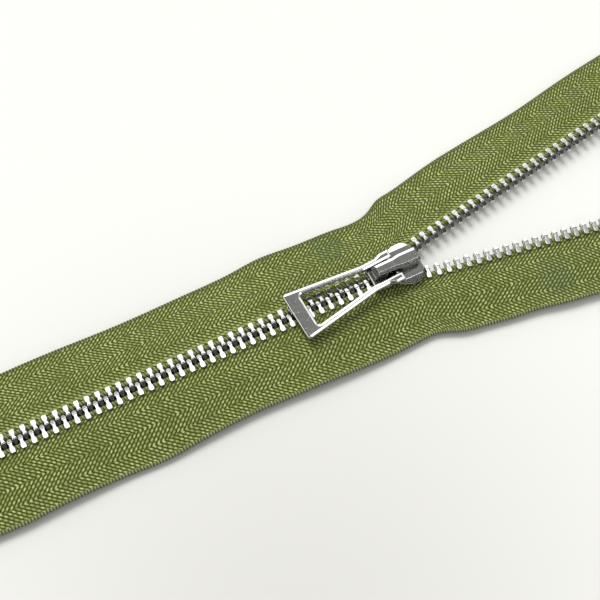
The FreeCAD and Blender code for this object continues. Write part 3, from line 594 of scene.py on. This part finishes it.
class Follow:
    """A geometry node group that lays a row's pieces along its path, as the slider carries it along X."""

    def __init__(self, name, side):
        self.side = SIDES[side]
        self.tree = bpy.data.node_groups.new(name, "GeometryNodeTree")
        self.tree.interface.new_socket("Geometry", in_out="INPUT", socket_type="NodeSocketGeometry")
        self.tree.interface.new_socket("Geometry", in_out="OUTPUT", socket_type="NodeSocketGeometry")
        self.g = Graph(self.tree)
        self.geometry = self.g.add("NodeGroupInput")
        body = {"Object": frame["bodies"]["slider"]}
        slider = self.g.add("GeometryNodeObjectInfo", body, output="Location")
        split = self.tree.nodes.new("ShaderNodeSeparateXYZ")
        self.g.put(split.inputs[0], slider)
        self.travel = split.outputs[0]
        self.shift = self.g.add("ShaderNodeCombineXYZ", {0: self.travel})

    def points(self, obj):
        return self.g.add("GeometryNodeObjectInfo", {"Object": obj}, output="Geometry")

    def sample(self, geometry, run):
        """Position and heading at a distance along a guide."""
        g = self.g
        place = g.math("DIVIDE", g.math("ADD", run, PATH_REACH), PATH_STEP)
        low, part = g.math("FLOOR", place), g.math("FRACT", place)
        spots, headings = [], []
        for step in (0.0, 1.0):
            index = g.math("ADD", low, step)
            read = {"Geometry": geometry, "Value": g.add("GeometryNodeInputPosition"), "Index": index}
            spots.append(g.add("GeometryNodeSampleIndex", read, data_type="FLOAT_VECTOR", clamp=True))
            named = g.add("GeometryNodeInputNamedAttribute", {"Name": "heading"}, data_type="FLOAT")
            read = {"Geometry": geometry, "Value": named, "Index": index}
            headings.append(g.add("GeometryNodeSampleIndex", read, data_type="FLOAT", clamp=True))
        step = g.vector("SCALE", g.vector("SUBTRACT", spots[1], spots[0]), scale=part)
        turn = g.math("MULTIPLY", part, g.math("SUBTRACT", headings[1], headings[0]))
        return g.vector("ADD", spots[0], step), g.math("ADD", headings[0], turn)

    def finish(self, **moved):
        out = self.tree.nodes.new("NodeGroupOutput")
        inputs = {"Geometry": self.geometry}
        inputs.update(moved)
        self.g.put(out.inputs[0], self.g.add("GeometryNodeSetPosition", inputs))
        return self.tree


def follow_woven(side, inner, outer):
    """For tapes and cords: every point keeps its distance along and out from the row."""
    f = Follow(f"woven_follows_{side}", side)
    g = f.g
    kind = "GeometryNodeInputNamedAttribute"
    run, out, share = (g.add(kind, {"Name": name}, data_type="FLOAT") for name in ("run", "out", "share"))
    lines = f.points(inner), f.points(outer)

    def lie(distance):
        sides = []
        for line in lines:
            spot, heading = f.sample(line, distance)
            across_x = g.math("MULTIPLY", g.math("SINE", heading), -f.side)
            across_y = g.math("MULTIPLY", g.math("COSINE", heading), f.side)
            across = g.add("ShaderNodeCombineXYZ", {0: across_x, 1: across_y})
            sides.append(g.vector("ADD", spot, g.vector("SCALE", across, scale=out)))
        between = g.vector("SCALE", g.vector("SUBTRACT", sides[1], sides[0]), scale=share)
        return g.vector("ADD", sides[0], between)

    now = g.vector("ADD", lie(g.math("SUBTRACT", run, f.travel)), f.shift)
    return f.finish(Offset=g.vector("SUBTRACT", now, lie(run)))


def follow_rigid(name, side, inner, first, pitch):
    """For teeth and stops: each piece turns and moves with the place on the row where it is clamped."""
    f = Follow(name, side)
    g = f.g
    line = f.points(inner)
    here = g.add("GeometryNodeInputPosition")
    flat = g.vector("MULTIPLY", here, (1.0, 1.0, 0.0))
    nearest = g.add("GeometryNodeSampleNearest", {"Geometry": line, "Sample Position": flat})
    distance = g.math("SUBTRACT", g.math("MULTIPLY", nearest, PATH_STEP), PATH_REACH)
    number = g.math("ROUND", g.math("DIVIDE", g.math("SUBTRACT", distance, first), pitch))
    run = g.math("ADD", first, g.math("MULTIPLY", number, pitch))
    rest_spot, rest_heading = f.sample(line, run)
    spot, heading = f.sample(line, g.math("SUBTRACT", run, f.travel))
    turned = g.add(
        "ShaderNodeVectorRotate",
        {"Vector": g.vector("SUBTRACT", here, rest_spot), "Angle": g.math("SUBTRACT", heading, rest_heading)},
        rotation_type="Z_AXIS",
    )
    return f.finish(Position=g.vector("ADD", g.vector("ADD", spot, f.shift), turned))


def attach(obj, tree):
    obj.modifiers.new("follow_slider", "NODES").node_group = tree


for side in SIDES:
    path = paths[side]
    inner = guide(f"guide_{side}_inner", path.at)
    outer = guide(f"guide_{side}_outer", outers[side].at)
    woven = follow_woven(side, inner, outer)
    for piece in (make_tape(side), make_cord(side)):
        attach(piece, woven)
    teeth = follow_rigid(f"teeth_follow_{side}", side, inner, float(path.first), float(path.pitch))
    for place in PLACES:
        attach(nodes[f"teeth_{side}_{place}"], teeth)
    stop = nodes[f"top_stop_{side}"]
    low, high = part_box(f"top_stop_{side}")
    middle = (low + high) / 2
    run = np.arange(0, PATH_REACH, 0.1 * MM)
    spots = path.at(run)[0]
    clamped = run[np.argmin(np.hypot(spots[:, 0] - middle.x, spots[:, 1] - middle.y))]
    attach(stop, follow_rigid(f"stop_follows_{side}", side, inner, float(clamped), 1.0))


# ---------------------------------------------------------------- floor, light and camera
SHADE_AT = (-0.050, -0.056, 0.0)  # the middle of the soft shade on the table, in metres


def build_floor():
    made, g, shader = material("floor_paper")
    where = g.add("ShaderNodeTexCoord", output="Object")
    grain = g.add("ShaderNodeTexNoise", {"Vector": where, "Scale": 1800.0, "Detail": 2.0})
    # the soft shade that falls on the table in front of the zipper
    away = g.vector("LENGTH", g.vector("SUBTRACT", where, SHADE_AT))
    pale = g.mix(g.ramp(away, 0.0, 110 * MM, 1.0, 0.0), (0.825, 0.825, 0.79, 1), (0.66, 0.655, 0.63, 1))
    g.put(shader.inputs["Base Color"], g.mix(g.math("MULTIPLY", grain, 0.04), pale, (0.6, 0.6, 0.58, 1)))
    g.put(shader.inputs["Roughness"], 0.8)
    g.put(shader.inputs["Specular IOR Level"], 0.1)
    mesh = bpy.data.meshes.new("floor")
    size = 6.0  # half the floor's width, in metres
    corners = [(-size, -size, 0), (size, -size, 0), (size, size, 0), (-size, size, 0)]
    mesh.from_pydata(corners, [], [(0, 1, 2, 3)])
    floor = bpy.data.objects.new("floor", mesh)
    bpy.context.scene.collection.objects.link(floor)
    floor.location.z = cad_low.z - 0.01 * MM
    paint(floor, made)
    floor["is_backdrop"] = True


def build_world():
    """A plain pale room. Polished metal sees its lights and dimmer walls, and cloth sees an even sky."""
    world = bpy.data.worlds.new("studio")
    bpy.context.scene.world = world
    world.use_nodes = True
    world.node_tree.nodes.clear()
    g = Graph(world.node_tree)
    way = g.add("ShaderNodeTexCoord", output="Generated")
    split = world.node_tree.nodes.new("ShaderNodeSeparateXYZ")
    g.put(split.inputs[0], way)

    def cone(direction, inner, outer):
        """1 inside an angle of this many degrees from a direction, falling to 0 outside the second."""
        near = g.vector("DOT_PRODUCT", way, tuple(Vector(direction).normalized()))
        return g.ramp(near, math.cos(math.radians(outer)), math.cos(math.radians(inner)))

    def panel(x_low, x_high, y_low, y_high, edge=0.04):
        """1 inside a range of the direction's X and Y, above the horizon, falling to 0 a little outside."""
        lit = g.ramp(split.outputs[2], 0.0, 0.05)
        for value, low, high in ((split.outputs[0], x_low, x_high), (split.outputs[1], y_low, y_high)):
            lit = g.math("MULTIPLY", lit, g.ramp(value, low - edge, low + edge))
            lit = g.math("MULTIPLY", lit, g.ramp(value, high + edge, high - edge))
        return lit

    overhead = g.math("MAXIMUM", panel(-0.25, 0.3, -0.07, 0.2), cone((0.3, -0.14, 0.945), 5, 7.5))
    walls, strip_light, even_sky = 0.07, 2.4, 0.54
    level = g.math("ADD", walls, g.math("MULTIPLY", overhead, strip_light))
    for lit, amount in (
        (panel(-0.5, 0.6, 0.57, 0.96, edge=0.05), 2.2),  # the window, low on the left-hand tape's side
        (panel(0.34, 0.6, -0.2, 0.2), 0.5),  # a dimmer panel towards the open end
        (panel(-0.4, 0.5, 0.24, 0.48), 0.15),  # the faint wall between window and strip light
        (cone((0.6, 0.36, 0.71), 6, 10), 1.2),  # a small lamp towards the open end
        (cone((-0.75, 0.25, 0.6), 14, 24), 1.6),  # a wide lamp towards the closed end
    ):
        level = g.math("ADD", level, g.math("MULTIPLY", lit, amount))
    lit = g.add("ShaderNodeBackground", {"Color": (0.99, 1.0, 1.0, 1), "Strength": level})
    soft = g.add("ShaderNodeBackground", {"Color": (1.0, 1.0, 0.99, 1), "Strength": even_sky})
    plain = g.add("ShaderNodeBackground", {"Color": (0.93, 0.93, 0.90, 1), "Strength": 1.0})
    path = world.node_tree.nodes.new("ShaderNodeLightPath")
    diffuse, seen = path.outputs["Is Diffuse Ray"], path.outputs["Is Camera Ray"]
    mixed = g.add("ShaderNodeMixShader", {0: diffuse, 1: lit, 2: soft})
    mixed = g.add("ShaderNodeMixShader", {0: seen, 1: mixed, 2: plain})
    out = world.node_tree.nodes.new("ShaderNodeOutputWorld")
    g.put(out.inputs[0], mixed)


def build_key():
    light = bpy.data.lights.new("key", "SUN")
    light.energy = 2.3
    light.angle = math.radians(32)
    light.color = (1.0, 0.995, 0.98)
    key = bpy.data.objects.new("key", light)
    bpy.context.scene.collection.objects.link(key)
    toward = Vector((-0.05, 0.62, 0.77)).normalized()
    key.visible_glossy = False
    key.rotation_mode = "QUATERNION"
    key.rotation_quaternion = toward.to_track_quat("Z", "Y")


def build_camera():
    azimuth, elevation, roll = math.radians(-33.5), math.radians(64.7), math.radians(6.87)
    distance, aim = 255.4 * MM, Vector((-20.0, 2.3, 2.7)) * MM
    outward = math.cos(elevation)
    back = Vector((math.sin(azimuth) * outward, -math.cos(azimuth) * outward, math.sin(elevation)))
    level = Vector((math.cos(azimuth), math.sin(azimuth), 0.0))
    above = back.cross(level)
    right = level * math.cos(roll) + above * math.sin(roll)
    up = above * math.cos(roll) - level * math.sin(roll)
    data = bpy.data.cameras.new("camera")
    data.lens = 78.0
    data.sensor_width = 36.0
    data.clip_start, data.clip_end = 0.01, 20.0
    camera = bpy.data.objects.new("camera", data)
    bpy.context.scene.collection.objects.link(camera)
    spot = aim + back * distance
    camera.matrix_world = Matrix(
        (
            (right.x, up.x, back.x, spot.x),
            (right.y, up.y, back.y, spot.y),
            (right.z, up.z, back.z, spot.z),
            (0, 0, 0, 1),
        )
    )
    bpy.context.scene.camera = camera


build_floor()
build_world()
build_key()
build_camera()
bpy.context.scene.view_settings.view_transform = "Standard"

low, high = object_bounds()
